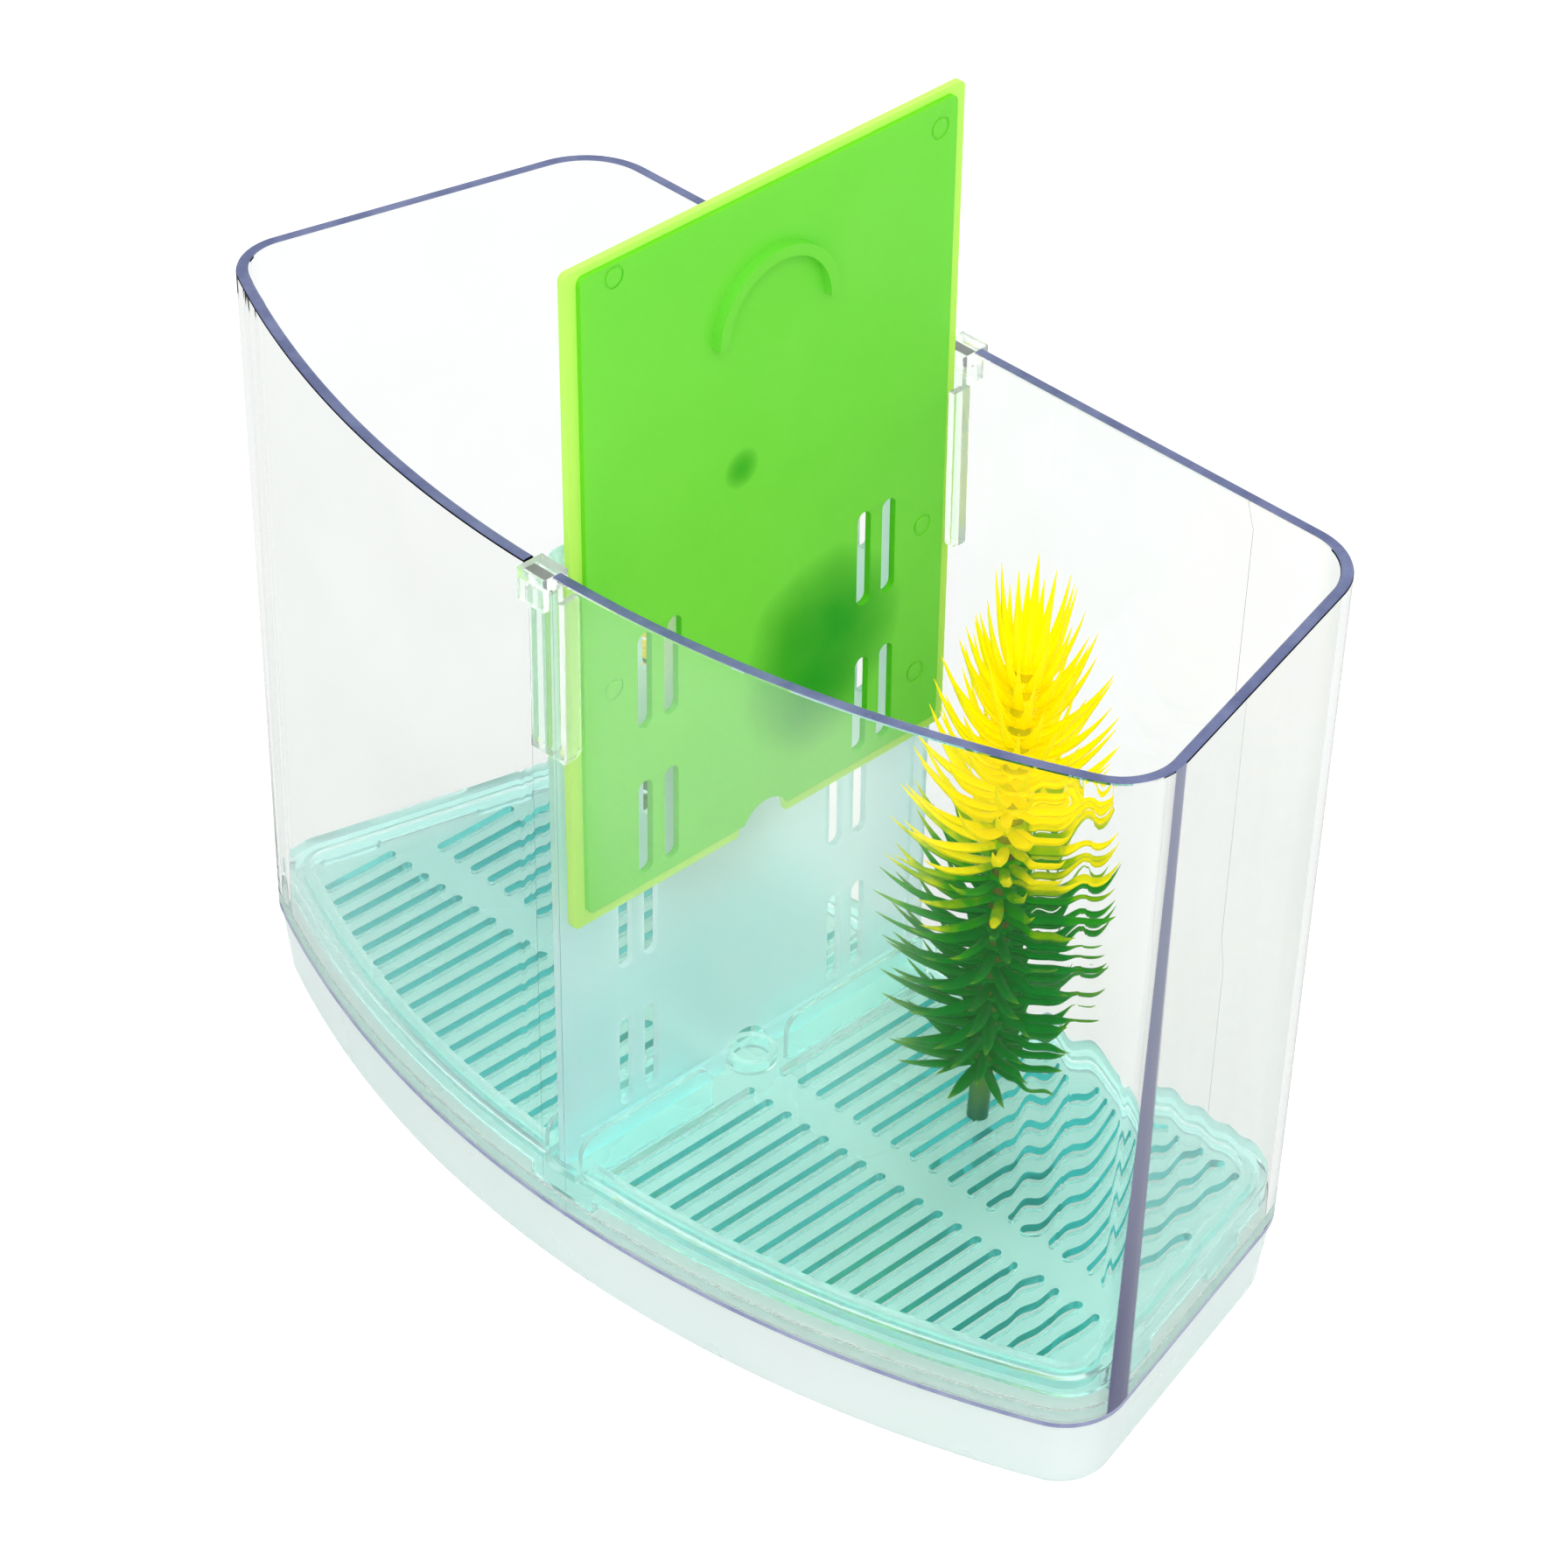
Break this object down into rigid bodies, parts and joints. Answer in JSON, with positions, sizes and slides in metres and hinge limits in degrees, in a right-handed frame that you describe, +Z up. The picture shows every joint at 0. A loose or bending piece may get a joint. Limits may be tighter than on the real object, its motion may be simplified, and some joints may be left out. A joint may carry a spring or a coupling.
{
  "type": "betta fish case",
  "caption": "Small bow-front fish case split by sliding dividers, with a slotted tray, hook-on rails, a base and plastic plants.",
  "frame": {"origin": "middle of the case on its resting face", "axes": "+X along the length to the right, -Y towards the bowed front, +Z up"},
  "size_m": [0.1964, 0.0936, 0.1853],
  "materials": {
    "clear_plastic": "clear, polished, violet tint at the edges",
    "frosted_base": "milky translucent satin",
    "turquoise_plastic": "transparent tinted gloss",
    "lime_plastic": "satin gloss, slightly translucent",
    "frosted_plastic": "frosted translucent",
    "dark_leaf": "soft satin",
    "yellow_leaf": "soft satin",
    "stem_plastic": "soft satin"
  },
  "bodies": {
    "base": {"base": "frosted_base"},
    "tank": {"tank": "clear_plastic"},
    "tray": {"grid_tray": "turquoise_plastic"},
    "front_rail": {"front_rail": "clear_plastic"},
    "rear_rail": {"rear_rail": "clear_plastic"},
    "green_divider": {"green_divider": "lime_plastic"},
    "clear_divider": {"clear_divider": "frosted_plastic"},
    "right_plant": {"right_stem": "stem_plastic", "right_whorl_01": "dark_leaf", "right_whorl_02": "dark_leaf", "right_whorl_03": "dark_leaf", "right_whorl_04": "dark_leaf", "right_whorl_05": "dark_leaf", "right_whorl_06": "dark_leaf", "right_whorl_07": "dark_leaf", "right_whorl_08": "dark_leaf", "right_whorl_09": "dark_leaf", "right_whorl_10": "yellow_leaf", "right_whorl_11": "yellow_leaf", "right_whorl_12": "yellow_leaf", "right_whorl_13": "yellow_leaf", "right_whorl_14": "yellow_leaf", "right_whorl_15": "yellow_leaf", "right_whorl_16": "yellow_leaf", "right_whorl_17": "yellow_leaf", "right_whorl_18": "yellow_leaf", "right_whorl_19": "yellow_leaf", "right_whorl_20": "yellow_leaf", "right_whorl_21": "yellow_leaf", "right_whorl_22": "yellow_leaf", "right_whorl_23": "yellow_leaf", "right_whorl_24": "yellow_leaf"},
    "left_plant": {"left_stem": "stem_plastic", "left_whorl_01": "dark_leaf", "left_whorl_02": "dark_leaf", "left_whorl_03": "dark_leaf", "left_whorl_04": "dark_leaf", "left_whorl_05": "dark_leaf", "left_whorl_06": "dark_leaf", "left_whorl_07": "dark_leaf", "left_whorl_08": "dark_leaf", "left_whorl_09": "dark_leaf", "left_whorl_10": "yellow_leaf", "left_whorl_11": "yellow_leaf", "left_whorl_12": "yellow_leaf", "left_whorl_13": "yellow_leaf", "left_whorl_14": "yellow_leaf", "left_whorl_15": "yellow_leaf", "left_whorl_16": "yellow_leaf", "left_whorl_17": "yellow_leaf", "left_whorl_18": "yellow_leaf", "left_whorl_19": "yellow_leaf", "left_whorl_20": "yellow_leaf", "left_whorl_21": "yellow_leaf", "left_whorl_22": "yellow_leaf", "left_whorl_23": "yellow_leaf", "left_whorl_24": "yellow_leaf"}
  },
  "joints": [
    {"name": "tank_lift", "type": "slide", "parent": "base", "child": "tank", "axis": [0, 0, 1], "range_m": [0, 0.15]},
    {"name": "tray_lift", "type": "slide", "parent": "tank", "child": "tray", "axis": [0, 0, 1], "range_m": [0, 0.072]},
    {"name": "front_rail_lift", "type": "slide", "parent": "tank", "child": "front_rail", "axis": [0, 0, 1], "range_m": [0, 0.04]},
    {"name": "rear_rail_lift", "type": "slide", "parent": "tank", "child": "rear_rail", "axis": [0, 0, 1], "range_m": [0, 0.04]},
    {"name": "green_divider_slide", "type": "slide", "parent": "tray", "child": "green_divider", "axis": [0, 0, 1], "range_m": [-0.0487, 0.068]},
    {"name": "clear_divider_slide", "type": "slide", "parent": "tray", "child": "clear_divider", "axis": [0, 0, 1], "range_m": [0, 0.117]},
    {"name": "right_plant_lift", "type": "slide", "parent": "tray", "child": "right_plant", "axis": [0, 0, 1], "range_m": [0, 0.12]},
    {"name": "left_plant_lift", "type": "slide", "parent": "tray", "child": "left_plant", "axis": [0, 0, 1], "range_m": [0, 0.12]}
  ]
}
